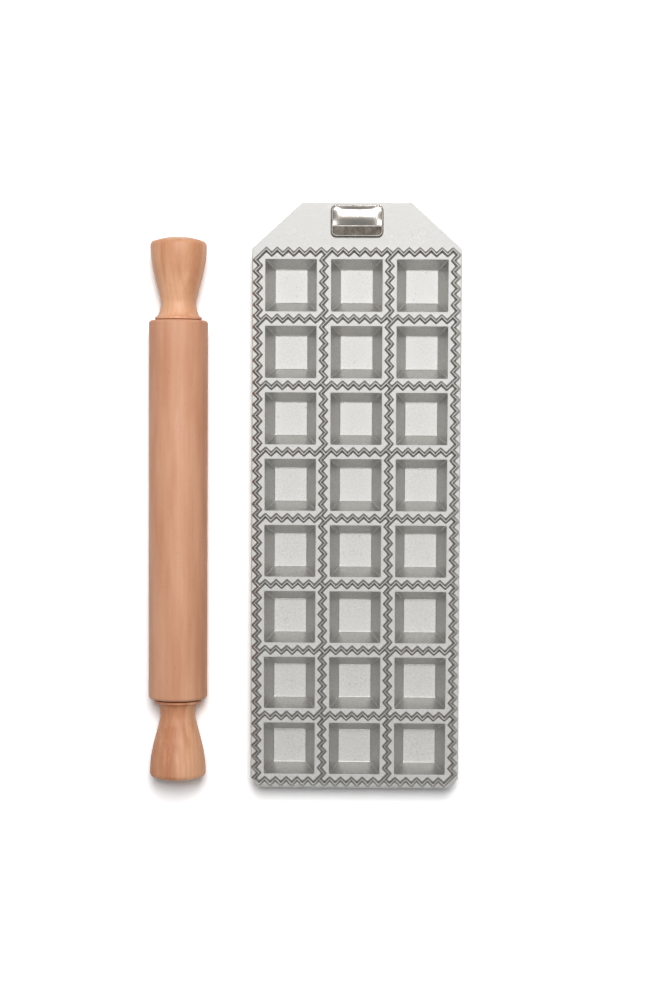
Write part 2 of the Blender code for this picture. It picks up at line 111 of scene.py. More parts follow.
def spinProfile(bm, profile, steps, place, closed=True):
    # (radius, height) points turned about Z, then put in place; a bored piece's profile is closed
    verts = [bm.verts.new((radius, 0, height)) for radius, height in profile]
    edges = [bm.edges.new(pair) for pair in zip(verts, verts[1:])]
    if closed and profile[0][0] > 0:
        edges.append(bm.edges.new((verts[-1], verts[0])))
    bmesh.ops.spin(
        bm,
        geom=verts + edges,
        cent=(0, 0, 0),
        axis=(0, 0, 1),
        angle=math.tau,
        steps=steps,
        use_merge=True,
    )
    bmesh.ops.transform(bm, matrix=place, verts=bm.verts)
    bmesh.ops.remove_doubles(bm, verts=bm.verts, dist=weldDistance)


# Materials: the texture helpers return sockets, so that they can be wired on

def newMaterial(name, colour, roughness, metallic):
    material = bpy.data.materials.new(name)
    material.use_nodes = True
    shader = material.node_tree.nodes["Principled BSDF"]
    shader.inputs["Base Color"].default_value = (*colour, 1)
    shader.inputs["Roughness"].default_value = roughness
    shader.inputs["Metallic"].default_value = metallic
    return material, shader


def addNode(material, kind, **values):
    node = material.node_tree.nodes.new(kind)
    for key, value in values.items():
        if key in node.inputs:
            node.inputs[key].default_value = value
        else:
            setattr(node, key, value)
    return node


def wire(material, source, target):
    material.node_tree.links.new(source, target)


def objectPoints(material, scale=(1, 1, 1), offset=(0, 0, 0)):
    texture = addNode(material, "ShaderNodeTexCoord")
    mapping = addNode(material, "ShaderNodeMapping", Location=offset, Scale=scale)
    wire(material, texture.outputs["Object"], mapping.inputs["Vector"])
    return mapping.outputs["Vector"]


def noiseAt(material, points, size, detail, roughness):
    noise = addNode(material, "ShaderNodeTexNoise", Scale=1 / size, Detail=detail, Roughness=roughness)
    wire(material, points, noise.inputs["Vector"])
    return noise.outputs["Fac"]


def linesAt(material, size, offset, detail, roughness):
    # noise drawn out along Y; size holds the lines' width and length
    width, length = size
    points = objectPoints(material, (1 / width, 1 / length, 1 / width), offset)
    return noiseAt(material, points, 1.0, detail, roughness)


def remap(material, value, span, result=(0.0, 1.0)):
    node = addNode(material, "ShaderNodeMapRange", clamp=True)
    node.inputs["From Min"].default_value, node.inputs["From Max"].default_value = span
    node.inputs["To Min"].default_value, node.inputs["To Max"].default_value = result
    wire(material, value, node.inputs["Value"])
    return node.outputs["Result"]


def blendColours(material, factor, first, second):
    node = addNode(material, "ShaderNodeMix", data_type="RGBA")
    for socket, colour in ((node.inputs["A"], first), (node.inputs["B"], second)):
        if isinstance(colour, tuple):
            socket.default_value = (*colour, 1)
        else:
            wire(material, colour, socket)
    wire(material, factor, node.inputs["Factor"])
    return node.outputs["Result"]


def overlay(material, base, marks, span, share, colour):
    # over the base: none of the colour below the span of the marks, its full share above
    return blendColours(material, remap(material, marks, span, (0.0, share)), base, colour)


def combineValues(material, operation, first, second=0.0):
    node = addNode(material, "ShaderNodeMath", operation=operation)
    for socket, value in zip(node.inputs, (first, second)):
        if isinstance(value, (int, float)):
            socket.default_value = value
        else:
            wire(material, value, socket)
    return node.outputs["Value"]


def addBump(material, shader, height, distance, strength=1.0):
    bump = addNode(material, "ShaderNodeBump", Strength=strength, Distance=distance)
    wire(material, height, bump.inputs["Height"])
    wire(material, bump.outputs["Normal"], shader.inputs["Normal"])


def shade(colour, share):
    return tuple(part * share for part in colour)


def tonedMaterial(name, finish):
    # one noise drives both the colour and the gloss: clouds, or lines along Y
    material, shader = newMaterial(name, finish["colour"], finish["roughness"], finish["metallic"])
    if "lines" in finish:
        tone = linesAt(material, finish["lines"], (0, 0, 0), detail=3, roughness=0.6)
    else:
        tone = noiseAt(material, objectPoints(material), finish["size"], detail=3, roughness=0.6)
    wire(material, blendColours(material, tone, *finish["tones"]), shader.inputs["Base Color"])
    wire(material, remap(material, tone, midSpan, finish["gloss"]), shader.inputs["Roughness"])
    return material, shader


# Cast aluminium: sandy skin, fine specks, faint cloudiness

castFinish = {
    # colour, roughness and how strongly the sand shows
    "skin": ((0.655, 0.650, 0.632), 0.70, 1.0),      # land and outside
    "wall": ((0.585, 0.577, 0.557), 0.40, 0.35),     # the smoother walls of the pockets; their colour, darker than the skin's, is painted shade on the slanted walls
    "flank": ((0.36, 0.35, 0.33), 0.50, 0.4),        # painted shade: much darker than the skin, for the shade on the steep flanks beside the ridges
    "crest": ((0.47, 0.46, 0.44), 0.55, 0.3),        # lighter than the flanks' painted shade, darker than the skin
    "metallic": 1.0,
    "grainSize": 1.1 * mm,
    "grainSpan": (0.36, 0.64),
    "grainHeight": 0.09 * mm,
    "grainBump": 0.6,
    "cloudSize": 14 * mm,
    "cloudSpan": (0.35, 0.65),
    "cloudShare": 0.35,
    "speckSize": 1.9 * mm,
    "speckSpan": (0.70, 0.76),
    "light": 1.09,                # of the colour: on light grains, on dark grains and in the specks
    "dark": 0.85,
    "pit": 0.80,
    "smoother": 0.06,             # how far the roughness falls and rises with the grains
    "rougher": 0.08,
}


def castAluminium(name, zone):
    colour, roughness, sand = castFinish[zone]
    material, shader = newMaterial(name, colour, roughness, castFinish["metallic"])
    points = objectPoints(material)
    grains = noiseAt(material, points, castFinish["grainSize"], detail=4, roughness=0.6)
    clouds = noiseAt(material, points, castFinish["cloudSize"], detail=3, roughness=0.5)
    specks = noiseAt(material, points, castFinish["speckSize"], detail=1, roughness=0.5)
    dark = shade(colour, castFinish["dark"])
    light = shade(colour, castFinish["light"])
    mottled = blendColours(material, remap(material, grains, castFinish["grainSpan"]), dark, light)
    cloudy = overlay(material, mottled, clouds, castFinish["cloudSpan"], castFinish["cloudShare"], colour)
    pit = shade(colour, castFinish["pit"])
    speckled = overlay(material, cloudy, specks, castFinish["speckSpan"], sand, pit)
    wire(material, speckled, shader.inputs["Base Color"])
    gloss = (roughness - castFinish["smoother"] * sand, roughness + castFinish["rougher"] * sand)
    wire(material, remap(material, grains, midSpan, gloss), shader.inputs["Roughness"])
    addBump(material, shader, grains, castFinish["grainHeight"] * sand, castFinish["grainBump"])
    return material


# Tray: the casting with every edge eased, in four zones of finish, with painted shade in the darker
# colours of the pockets' walls and the ridges' flanks

tray = {
    "ridgeHeight": 1.8 * mm,
    "pocketDepth": 10 * mm,
    "toothRound": 0.5 * mm,       # the upright edges at the teeth's tips
    "tipEase": 0.4 * mm,          # how much blunter the teeth are where they meet the plate
    "toothWeld": 0.01 * mm,
    "crestRound": 0.17 * mm,
    "mouthRound": 0.25 * mm,
    "pocketRound": 0.5 * mm,
    "sideFlat": 0.7 * mm,         # reach of the small flats at the long sides
    "sameHeight": 0.02 * mm,
    "flatAngle": 0.5,             # degrees between faces that count as one
    "sharpAngle": 20,             # degrees from which an edge is rounded
    "wallNormals": (0.3, 0.7),    # upward part of the normal of a pocket's wall
    "wallPaint": (0.2, 0.97),     # the same with the wall's rounded edges
    "crestNormal": 0.9,
}
trayLow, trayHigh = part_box("mould_tray")
crestTop = trayHigh.z
plateTop = crestTop - tray["ridgeHeight"]
pocketFloor = plateTop - tray["pocketDepth"]


def atHeight(part, height):
    return all(abs(vert.co.z - height) < tray["sameHeight"] for vert in part.verts)


def isCrest(face):
    return atHeight(face, crestTop)


def isSharp(edge):
    return edge.is_manifold and edge.calc_face_angle() > math.radians(tray["sharpAngle"])


def isToothEdge(edge):
    low, high = sorted(vert.co.z for vert in edge.verts)
    rises = abs(low - plateTop) < tray["sameHeight"] and abs(high - crestTop) < tray["sameHeight"]
    return rises and isSharp(edge) and edge.is_convex


def isWall(face):
    # the slanted side of a pocket, from the plate's top to the pocket's floor
    lowest = min(vert.co.z for vert in face.verts)
    least, most = tray["wallNormals"]
    return lowest < pocketFloor + tray["sameHeight"] and least < face.normal.z < most


def isPocketEdge(edge):
    low, high = sorted(vert.co.z for vert in edge.verts)
    tall = high - low > tray["pocketDepth"] / 2
    fromFloor = abs(low - pocketFloor) < tray["sameHeight"]
    return fromFloor and isSharp(edge) and (tall or atHeight(edge, pocketFloor))


def openTray():
    # the solid's mesh, with the triangles of its flat faces joined again
    bm = bmesh.new()
    bm.from_mesh(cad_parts["mould_tray"].data)
    bmesh.ops.remove_doubles(bm, verts=bm.verts, dist=weldDistance)
    belowCrests = [e for e in bm.edges if not atHeight(e, crestTop)]
    flat = math.radians(tray["flatAngle"])
    bmesh.ops.dissolve_limit(bm, angle_limit=flat, verts=bm.verts, edges=belowCrests)
    crests = [f for f in bm.faces if isCrest(f)]
    inner = [e for e in bm.edges if len(e.link_faces) == 2 and all(isCrest(f) for f in e.link_faces)]
    bmesh.ops.beautify_fill(bm, faces=crests, edges=inner, method="AREA")
    bmesh.ops.join_triangles(
        bm,
        faces=[f for f in bm.faces if isCrest(f)],
        angle_face_threshold=flat * 2,
        angle_shape_threshold=math.pi,
    )
    return bm


def bluntTeeth(teeth):
    # the lower end of each edge moves back into its tooth
    for edge in teeth:
        outward = Vector((0, 0, 0))
        for face in edge.link_faces:
            outward += Vector((face.normal.x, face.normal.y, 0))
        base = min(edge.verts, key=lambda vert: vert.co.z)
        base.co -= outward.normalized() * tray["tipEase"]


def paintZones(bm):
    # 0 skin, 1 walls of the pockets, 2 flanks of the ridges, 3 crests
    least, most = tray["wallPaint"]
    for face in bm.faces:
        height = face.calc_center_median().z
        if height > crestTop - tray["crestRound"] and face.normal.z > tray["crestNormal"]:
            face.material_index = 3
        # above the plate and below the crests: the flanks, whose colour holds painted shade
        elif height > plateTop + tray["sameHeight"]:
            face.material_index = 2
        elif pocketFloor < height < plateTop - tray["mouthRound"] and least < face.normal.z < most:
            face.material_index = 1


def keepSidesFlat(mesh):
    # sharp edges round the small flats at the long sides keep these as flat as the rest
    for edge in mesh.edges:
        ends = [mesh.vertices[k].co for k in edge.vertices]
        level = all(abs(co.z - plateTop) < tray["sameHeight"] for co in ends)
        atSide = all(min(co.x - trayLow.x, trayHigh.x - co.x) < tray["sideFlat"] for co in ends)
        edge.use_edge_sharp = edge.use_edge_sharp or (level and atSide)


def buildTray():
    bm = openTray()
    mouths = [e for e in bm.edges if atHeight(e, plateTop) and any(isWall(f) for f in e.link_faces)]
    roundEdges(bm, mouths, tray["mouthRound"], 2)
    roundEdges(bm, [e for e in bm.edges if isPocketEdge(e)], tray["pocketRound"], 3)
    teeth = [e for e in bm.edges if isToothEdge(e)]
    bluntTeeth(teeth)
    roundEdges(bm, teeth, tray["toothRound"], 2)
    bmesh.ops.remove_doubles(bm, verts=bm.verts, dist=tray["toothWeld"])
    crests = [e for e in bm.edges if atHeight(e, crestTop) and isSharp(e)]
    roundEdges(bm, crests, tray["crestRound"], 2, clamp=False)
    paintZones(bm)
    castFace = castAluminium("castFace", "skin")
    # the walls' smoother finish is real; their darker colour is painted shade
    pocketWall = castAluminium("pocketWall", "wall")
    # the flanks' colour is painted shade on the steep sides of the ridges
    ridgeFlankPaintedShade = castAluminium("ridgeFlankPaintedShade", "flank")
    ridgeCrest = castAluminium("ridgeCrest", "crest")
    zones = [castFace, pocketWall, ridgeFlankPaintedShade, ridgeCrest]
    piece = meshPiece("trayCasting", bm, "mould", ["mould_tray"], zones, smoothAngle=30)
    keepSidesFlat(piece.data)
    normals = piece.modifiers.new("flatFaces", "WEIGHTED_NORMAL")
    normals.keep_sharp = True
    normals.weight = 100
    print("tray casting made,", len(piece.data.polygons), "faces")


buildTray()


# Badge: a bare nickel plate with a crowned field over a dark sunk band

badge = {
    "corner": 3 * mm,
    "cornerSteps": 8,
    "thickness": 1.5 * mm,
    "edgeRound": 0.4 * mm,
    "edgeNormal": 0.8,            # upward part of the normal, up to which a face counts as edge
    "rim": 0.5 * mm,
    "bandHeight": 5.4 * mm,       # the sunk band along the lower side
    "divider": 0.28 * mm,
    "sink": 0.45 * mm,
    "bandSlope": 0.2 * mm,
    "fieldSlope": 0.28 * mm,
    "crown": 0.72 * mm,
    "crownLean": 0.45,            # how much fuller the crown is towards the upper side
    "cuts": (20, 12),
    "sameHeight": 0.01 * mm,
    "studDiameter": 2 * mm,
    "studSpacing": 18 * mm,
    "studSteps": 32,
    # colour, roughness and how much the smudges add to it
    "bright": ((0.60, 0.565, 0.515), 0.19, 0.03),
    "dark": ((0.095, 0.083, 0.07), 0.5, 0.15),
    "satin": ((0.40, 0.38, 0.35), 0.55, 0.08),
    "aged": 0.8,                  # of the colour, in the smudges
    "smudgeSize": 3.5 * mm,
    "smudgeSpan": (0.35, 0.7),
    "agedSpan": (0.55, 0.75),
    "agedShare": 0.6,
    "stippleSize": 0.3 * mm,
    "stippleHeight": 0.04 * mm,
}


def nickel(name, colour, roughness, smudge):
    material, shader = newMaterial(name, colour, roughness, 1.0)
    points = objectPoints(material)
    smudges = noiseAt(material, points, badge["smudgeSize"], detail=3, roughness=0.6)
    smudged = remap(material, smudges, badge["smudgeSpan"], (roughness, roughness + smudge))
    wire(material, smudged, shader.inputs["Roughness"])
    aged = shade(colour, badge["aged"])
    toned = overlay(material, colour, smudges, badge["agedSpan"], badge["agedShare"], aged)
    wire(material, toned, shader.inputs["Base Color"])
    return material, shader, points


def gridCut(bm, faces, normal, places):
    for place in places:
        around = dict.fromkeys(part for face in faces for part in (face, *face.edges, *face.verts))
        cut = bmesh.ops.bisect_plane(bm, geom=list(around), plane_co=place, plane_no=normal)
        faces = [part for part in cut["geom"] if isinstance(part, bmesh.types.BMFace)]
    return faces


def insetFace(bm, face, width, depth=0.0):
    inset = bmesh.ops.inset_individual(
        bm, faces=[face], thickness=width, depth=-depth, use_even_offset=True
    )
    return inset["faces"]


def sinkFace(bm, face, slope):
    # a flat border in satin, then a short dark slope down to the face
    for part in insetFace(bm, face, badge["divider"]):
        part.material_index = 2
    for part in insetFace(bm, face, slope, badge["sink"]):
        part.material_index = 1


def crownFace(bm, face):
    xs = [vert.co.x for vert in face.verts]
    ys = [vert.co.y for vert in face.verts]
    middle = Vector(((min(xs) + max(xs)) / 2, (min(ys) + max(ys)) / 2, face.verts[0].co.z))
    half = Vector(((max(xs) - min(xs)) / 2, (max(ys) - min(ys)) / 2, 0))
    faces = [face]
    for axis, count in enumerate(badge["cuts"]):
        normal = Vector((axis == 0, axis == 1, 0))
        places = [middle + normal * half[axis] * (2 * k / count - 1) for k in range(1, count)]
        faces = gridCut(bm, faces, normal, places)
    inside = set(faces)
    edges = {edge for part in faces for edge in part.edges}
    rim = {vert for edge in edges if not inside.issuperset(edge.link_faces) for vert in edge.verts}
    for vert in {vert for part in faces for vert in part.verts} - rim:
        across = (vert.co.x - middle.x) / half.x
        along = (vert.co.y - middle.y) / half.y
        lean = 1 + badge["crownLean"] * along
        vert.co.z += badge["crown"] * (1 - across ** 4) * (1 - along ** 2) * lean


def badgePlate(low, high):
    # the plate with its rounded corners and upper edge
    centre = (low + high) / 2
    bm = bmesh.new()
    bmesh.ops.create_grid(bm, x_segments=1, y_segments=1, size=0.5)
    size = Matrix.Diagonal((high.x - low.x, high.y - low.y, 1, 1))
    place = Matrix.Translation((centre.x, centre.y, high.z - badge["thickness"]))
    bmesh.ops.transform(bm, matrix=place @ size, verts=bm.verts)
    bmesh.ops.bevel(
        bm,
        geom=bm.verts,
        offset=badge["corner"],
        segments=badge["cornerSteps"],
        profile=0.5,
        affect="VERTICES",
        material=-1,
    )
    rise = bmesh.ops.extrude_face_region(bm, geom=bm.faces)["geom"]
    lifted = [item for item in rise if isinstance(item, bmesh.types.BMVert)]
    bmesh.ops.translate(bm, vec=(0, 0, badge["thickness"]), verts=lifted)
    bmesh.ops.recalc_face_normals(bm, faces=bm.faces)
    upper = [e for e in bm.edges if all(v.co.z > high.z - badge["sameHeight"] for v in e.verts)]
    roundEdges(bm, upper, badge["edgeRound"], 3)
    return bm


def addStuds(bm, centre, bottom, length):
    for side in (-1, 1):
        at = Vector((centre.x + side * badge["studSpacing"] / 2, centre.y, bottom + length / 2))
        bmesh.ops.create_cone(
            bm,
            cap_ends=True,
            segments=badge["studSteps"],
            radius1=badge["studDiameter"] / 2,
            radius2=badge["studDiameter"] / 2,
            depth=length,
            matrix=Matrix.Translation(at),
        )


def buildBadge():
    low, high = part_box("badge_plate")
    bm = badgePlate(low, high)
    top = max(bm.faces, key=lambda face: (round(face.calc_center_median().z, 6), face.calc_area()))
    frameFaces = insetFace(bm, top, badge["rim"] / 2)
    split = low.y + badge["rim"] + badge["bandHeight"]
    halves = gridCut(bm, [top], Vector((0, 1, 0)), [Vector((0, split, 0))])
    band, field = sorted(halves, key=lambda face: face.calc_center_median().y)
    sinkFace(bm, band, badge["bandSlope"])
    sinkFace(bm, field, badge["fieldSlope"])
    # the band is dark in its own colour; the frame round the top is dark as painted shade, a dark outline
    # round the badge
    for face in (band, *frameFaces):
        face.material_index = 1
    # painted shade: the rounded edge takes the dark colour, for the shadow line round the badge
    for face in bm.faces:  # the plate's rounded edge is dark too
        rounded = face.normal.z < badge["edgeNormal"]
        if rounded and face.calc_center_median().z > high.z - badge["edgeRound"]:
            face.material_index = 1
    crownFace(bm, field)
    addStuds(bm, (low + high) / 2, low.z, high.z - badge["thickness"] - low.z)
    bright = nickel("polishedNickel", *badge["bright"])[0]
    dark, shader, points = nickel("darkBandAndPaintedOutline", *badge["dark"])
    stipple = noiseAt(dark, points, badge["stippleSize"], detail=2, roughness=0.5)
    addBump(dark, shader, stipple, badge["stippleHeight"])
    satin = nickel("satinNickel", *badge["satin"])[0]
    finishes = [bright, dark, satin]
    meshPiece("badge", bm, "mould", ["badge_plate"], finishes, smoothAngle=30)
    print("badge made")


buildBadge()


# Push nuts: thin spring discs whose fingers grip the studs

pushNut = {
    "steps": 36,
    "slitEvery": 6,
    "thickness": 0.3 * mm,
    "sheet": 0.9,                 # of the thickness, so that the nut keeps within its box
    "bore": 1.15 * mm,
    "waist": 2.2 * mm,
    "rimSlope": 0.35 * mm,
    "clearance": 0.02 * mm,
}
springSteel = {
    "colour": (0.20, 0.21, 0.24),
    "roughness": 0.33,
    "metallic": 1.0,
    "size": 1.6 * mm,
    "tones": ((0.15, 0.16, 0.20), (0.30, 0.29, 0.28)),
    "gloss": (0.28, 0.45),
}


def buildPushNut(name, node, material):
    low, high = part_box(node)
    centre = (low + high) / 2
    radius = (high.x - low.x) / 2
    bottom = low.z + pushNut["clearance"]
    top = high.z - pushNut["thickness"]
    profile = [(pushNut["bore"], bottom), (pushNut["waist"], top)]
    profile += [(radius - pushNut["rimSlope"], top), (radius - pushNut["clearance"], bottom)]
    bm = bmesh.new()
    spinProfile(bm, profile, pushNut["steps"], Matrix(), closed=False)
    fingers = [f for f in bm.faces if math.hypot(*f.calc_center_median().xy) < pushNut["waist"]]
    fingers.sort(key=lambda face: math.atan2(face.calc_center_median().y, face.calc_center_median().x))
    bmesh.ops.delete(bm, geom=fingers[:: pushNut["slitEvery"]], context="FACES")
    faceUpwards(bm)
    bmesh.ops.solidify(bm, geom=bm.faces, thickness=-pushNut["thickness"] * pushNut["sheet"])
    bmesh.ops.transform(bm, matrix=Matrix.Translation((centre.x, centre.y, 0)), verts=bm.verts)
    meshPiece(name, bm, "mould", [node], [material])


steel = tonedMaterial("blueSpringSteel", springSteel)[0]
for side in ("left", "right"):
    buildPushNut(f"pushNut_{side}", f"badge_nut_{side}", steel)
print("push nuts made")


# Feet and their screws

foot = {
    "hole": 1.7 * mm,
    "counterbore": 2.8 * mm,
    "seat": 2.5 * mm,
    "round": 0.8 * mm,
    "draft": 0.25 * mm,
    "topEase": 0.15 * mm,
    "boreEase": 0.2 * mm,
    "roundSteps": 6,
    "steps": 64,
}
rubberFinish = {
    "colour": (0.028, 0.028, 0.029),
    "clean": (0.024, 0.024, 0.025),
    "dusty": (0.09, 0.088, 0.084),
    "roughness": 0.72,
    "gloss": (0.62, 0.85),
    "glossSpan": (0.35, 0.7),
    "fineSize": 0.35 * mm,
    "fineHeight": 0.03 * mm,
    "dustSize": 2.5 * mm,
    "dustSpan": (0.52, 0.75),
    "dustShare": 0.6,
}
screw = {
    "headDiameter": 5 * mm,
    "headHeight": 1.5 * mm,
    "dome": 0.42,                 # radius of the head's rounding, of the head's radius
    "domeSteps": 6,
    "shank": 2.8 * mm,
    "tip": 0.3,                   # of the shank's radius
    "tipLength": 1 * mm,
    "recessWidth": 0.75 * mm,
    "recessLength": 2.9 * mm,
    "recessDepth": 0.9 * mm,
    "steps": 48,
}
zincPlate = {
    "colour": (0.60, 0.61, 0.62),
    "roughness": 0.28,
    "metallic": 1.0,
    "size": 1.2 * mm,
    "tones": ((0.50, 0.51, 0.52), (0.68, 0.68, 0.66)),
    "gloss": (0.22, 0.40),
}


def rubber():
    material, shader = newMaterial("blackRubber", rubberFinish["colour"], rubberFinish["roughness"], 0.0)
    points = objectPoints(material)
    fine = noiseAt(material, points, rubberFinish["fineSize"], detail=3, roughness=0.6)
    dust = noiseAt(material, points, rubberFinish["dustSize"], detail=4, roughness=0.65)
    clean, dusty = rubberFinish["clean"], rubberFinish["dusty"]
    toned = overlay(material, clean, dust, rubberFinish["dustSpan"], rubberFinish["dustShare"], dusty)
    wire(material, toned, shader.inputs["Base Color"])
    gloss = remap(material, dust, rubberFinish["glossSpan"], rubberFinish["gloss"])
    wire(material, gloss, shader.inputs["Roughness"])
    addBump(material, shader, fine, rubberFinish["fineHeight"])
    return material


def buildFoot(name, node, material):
    low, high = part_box(node)
    centre = (low + high) / 2
    radius = (high.x - low.x) / 2
    inner = radius - foot["draft"] - foot["round"]
    hole, counterbore = foot["hole"], foot["counterbore"]
    profile = [(hole, high.z), (radius - foot["topEase"], high.z), (radius, high.z - foot["topEase"])]
    profile += arcPoints((inner, foot["round"]), foot["round"], 0, -90, foot["roundSteps"])
    profile += [(counterbore + foot["boreEase"], 0), (counterbore, foot["boreEase"])]
    profile += [(counterbore, foot["seat"]), (hole, foot["seat"])]
    bm = bmesh.new()
    spinProfile(bm, profile, foot["steps"], Matrix.Translation((centre.x, centre.y, low.z)))
    meshPiece(name, bm, "mould", [node], [material])


def crossCutter(centre, height):
    bm = bmesh.new()
    for turn in (0, 90):
        slot = bmesh.ops.create_cube(bm, size=1)["verts"]
        size = Matrix.Diagonal((screw["recessLength"], screw["recessWidth"], screw["recessDepth"] * 2, 1))
        spun = Matrix.Rotation(math.radians(turn), 4, "Z")
        place = Matrix.Translation((centre.x, centre.y, height))
        bmesh.ops.transform(bm, matrix=place @ spun @ size, verts=slot)
    return linkObject("crossCutter", meshFrom("crossCutter", bm))


def screwBlank(centre, low, high):
    # head down: its domed face is the lowest, the shank's tip the highest
    head = screw["headDiameter"] / 2
    shank = screw["shank"] / 2
    headTop = low.z + screw["headHeight"]
    dome = head * screw["dome"]
    profile = [(0, high.z), (shank * screw["tip"], high.z), (shank, high.z - screw["tipLength"])]
    profile += [(shank, headTop), (head, headTop)]
    profile += arcPoints((head - dome, low.z + dome), dome, 0, -90, screw["domeSteps"])
    profile.append((0, low.z))
    bm = bmesh.new()
    spinProfile(bm, profile, screw["steps"], Matrix.Translation((centre.x, centre.y, 0)))
    bmesh.ops.recalc_face_normals(bm, faces=bm.faces)
    return linkObject("screwBlank", meshFrom("screwBlank", bm))


def buildScrew(name, node, material):
    low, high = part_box(node)
    centre = (low + high) / 2
    blank = screwBlank(centre, low, high)
    cutter = crossCutter(centre, low.z)
    cut = blank.modifiers.new("recess", "BOOLEAN")
    cut.operation = "DIFFERENCE"
    cut.solver = "EXACT"
    cut.use_self = True
    cut.object = cutter
    graph = bpy.context.evaluated_depsgraph_get()
    bm = bmesh.new()
    bm.from_mesh(blank.evaluated_get(graph).to_mesh())
    for scratch in (cutter, blank):
        bpy.data.objects.remove(scratch)
    meshPiece(name, bm, "mould", [node], [material], smoothAngle=40)


footRubber = rubber()
zinc = tonedMaterial("zincPlate", zincPlate)[0]
for corner in ("head_left", "head_right", "tail_left", "tail_right"):
    buildFoot(f"foot_{corner}_rubber", f"foot_{corner}", footRubber)
    buildScrew(f"screw_{corner}", f"foot_screw_{corner}", zinc)
print("feet and screws made")


# The pin's place and the barrel's size; its pieces are spun about Z and laid along Y from there

barrelLow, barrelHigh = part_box("roller_barrel")
pinCentre = (barrelLow + barrelHigh) / 2
barrelRadius = (barrelHigh.x - barrelLow.x) / 2
barrelHalf = (barrelHigh.y - barrelLow.y) / 2
toHead = Matrix.Translation(pinCentre) @ Matrix.Rotation(math.radians(-90), 4, "X")
toTail = Matrix.Translation(pinCentre) @ Matrix.Rotation(math.radians(90), 4, "X")


# Beech: growth layers about a pith outside the piece, streaks, short ray flecks and fine hairs along Y

beech = {
    "ringStep": 2.6 * mm,
    "ringSpan": (0.55, 1.0),
    "ringShare": 0.30,
    "ringStretch": 0.06,          # scale along Y, so that the rings wander slowly there
    "wanderSize": 22 * mm,
    "wander": 9 * mm,
    "bandSize": 7 * mm,
    "bandSpan": (0.36, 0.64),
    "bandStretch": 0.12,
    "streak": (0.7 * mm, 32 * mm),     # width and length
    "streakSpan": (0.42, 0.68),
    "streakShare": 0.5,
    "fleck": (0.24 * mm, 2.6 * mm),
    "fleckSpan": (0.70, 0.80),
    "fleckShare": 0.35,
    "hair": (0.4 * mm, 24 * mm),
    "hairSpan": (0.66, 0.80),
    "hairShare": 0.22,
    "smoother": 0.05,             # how far the roughness falls and rises with the streaks
    "rougher": 0.08,
    "poreHeight": 0.03 * mm,
    "poreBump": 0.5,
}


def growthRings(material, offset):
    # the distance from the pith, with a little wander, as a share of one ring's step
    along = objectPoints(material, (1, beech["ringStretch"], 1), offset)
    wander = noiseAt(material, along, beech["wanderSize"], detail=3, roughness=0.5)
    parts = addNode(material, "ShaderNodeSeparateXYZ")
    wire(material, along, parts.inputs["Vector"])
    squareX = combineValues(material, "MULTIPLY", parts.outputs["X"], parts.outputs["X"])
    squareZ = combineValues(material, "MULTIPLY", parts.outputs["Z"], parts.outputs["Z"])
    distance = combineValues(material, "SQRT", combineValues(material, "ADD", squareX, squareZ))
    drift = combineValues(material, "MULTIPLY", wander, beech["wander"])
    layers = combineValues(material, "ADD", distance, drift)
    turns = combineValues(material, "MULTIPLY", layers, 1 / beech["ringStep"])
    return combineValues(material, "FRACT", turns)


def toneBands(material, offset, lean):
    # broad bands of light and dark wood
    points = objectPoints(material, (1, beech["bandStretch"], 1), offset)
    bands = noiseAt(material, points, beech["bandSize"], detail=2, roughness=0.5)
    if lean:
        parts = addNode(material, "ShaderNodeSeparateXYZ")
        wire(material, points, parts.inputs["Vector"])
        across = combineValues(material, "ADD", parts.outputs["X"], -offset[0] - pinCentre.x)
        bands = combineValues(material, "ADD", bands, combineValues(material, "MULTIPLY", across, lean))
    return bands


def beechWood(name, tones, pith, roughness, figure, lean=0.0):
    # tones: light, middle and dark wood, then the flecks and hairs; lean: lighter towards +X
    light, middle, dark, fleck = tones
    material, shader = newMaterial(name, middle, roughness, 0.0)
    offset = tuple(-part for part in pith)
    rings = growthRings(material, offset)
    bands = toneBands(material, offset, lean)
    streaks = linesAt(material, beech["streak"], offset, detail=4, roughness=0.6)
    flecks = linesAt(material, beech["fleck"], offset, detail=0, roughness=0.5)
    hairs = linesAt(material, beech["hair"], offset, detail=1, roughness=0.5)
    wood = blendColours(material, remap(material, bands, beech["bandSpan"]), dark, light)
    wood = overlay(material, wood, rings, beech["ringSpan"], beech["ringShare"] * figure, dark)
    wood = overlay(material, wood, streaks, beech["streakSpan"], beech["streakShare"] * figure, middle)
    wood = overlay(material, wood, flecks, beech["fleckSpan"], beech["fleckShare"], fleck)
    wood = overlay(material, wood, hairs, beech["hairSpan"], beech["hairShare"], fleck)
    wire(material, wood, shader.inputs["Base Color"])
    gloss = (roughness - beech["smoother"], roughness + beech["rougher"])
    wire(material, remap(material, streaks, midSpan, gloss), shader.inputs["Roughness"])
    pores = combineValues(material, "SUBTRACT", streaks, flecks)
    addBump(material, shader, pores, beech["poreHeight"], beech["poreBump"])
    return material


barrelBeech = beechWood(
    "barrelBeech",
    tones=((0.70, 0.365, 0.225), (0.66, 0.325, 0.19), (0.60, 0.275, 0.155), (0.40, 0.18, 0.09)),
    pith=(-0.118, 0.0, 0.060),
    roughness=0.58,
    figure=0.8,
)
headBeech = beechWood(
    "headBeech",
    tones=((0.81, 0.445, 0.26), (0.74, 0.375, 0.21), (0.62, 0.275, 0.14), (0.42, 0.18, 0.08)),
    pith=(-0.040, 0.0, 0.050),
    roughness=0.48,
    figure=1.1,
)
tailBeech = beechWood(
    "tailBeech",
    tones=((0.76, 0.41, 0.24), (0.68, 0.33, 0.18), (0.52, 0.205, 0.095), (0.34, 0.13, 0.05)),
    pith=(-0.100, 0.0, 0.045),
    roughness=0.56,
    figure=1.2,
    lean=14.0,
)


# Barrel with its bushes, and the axle through it

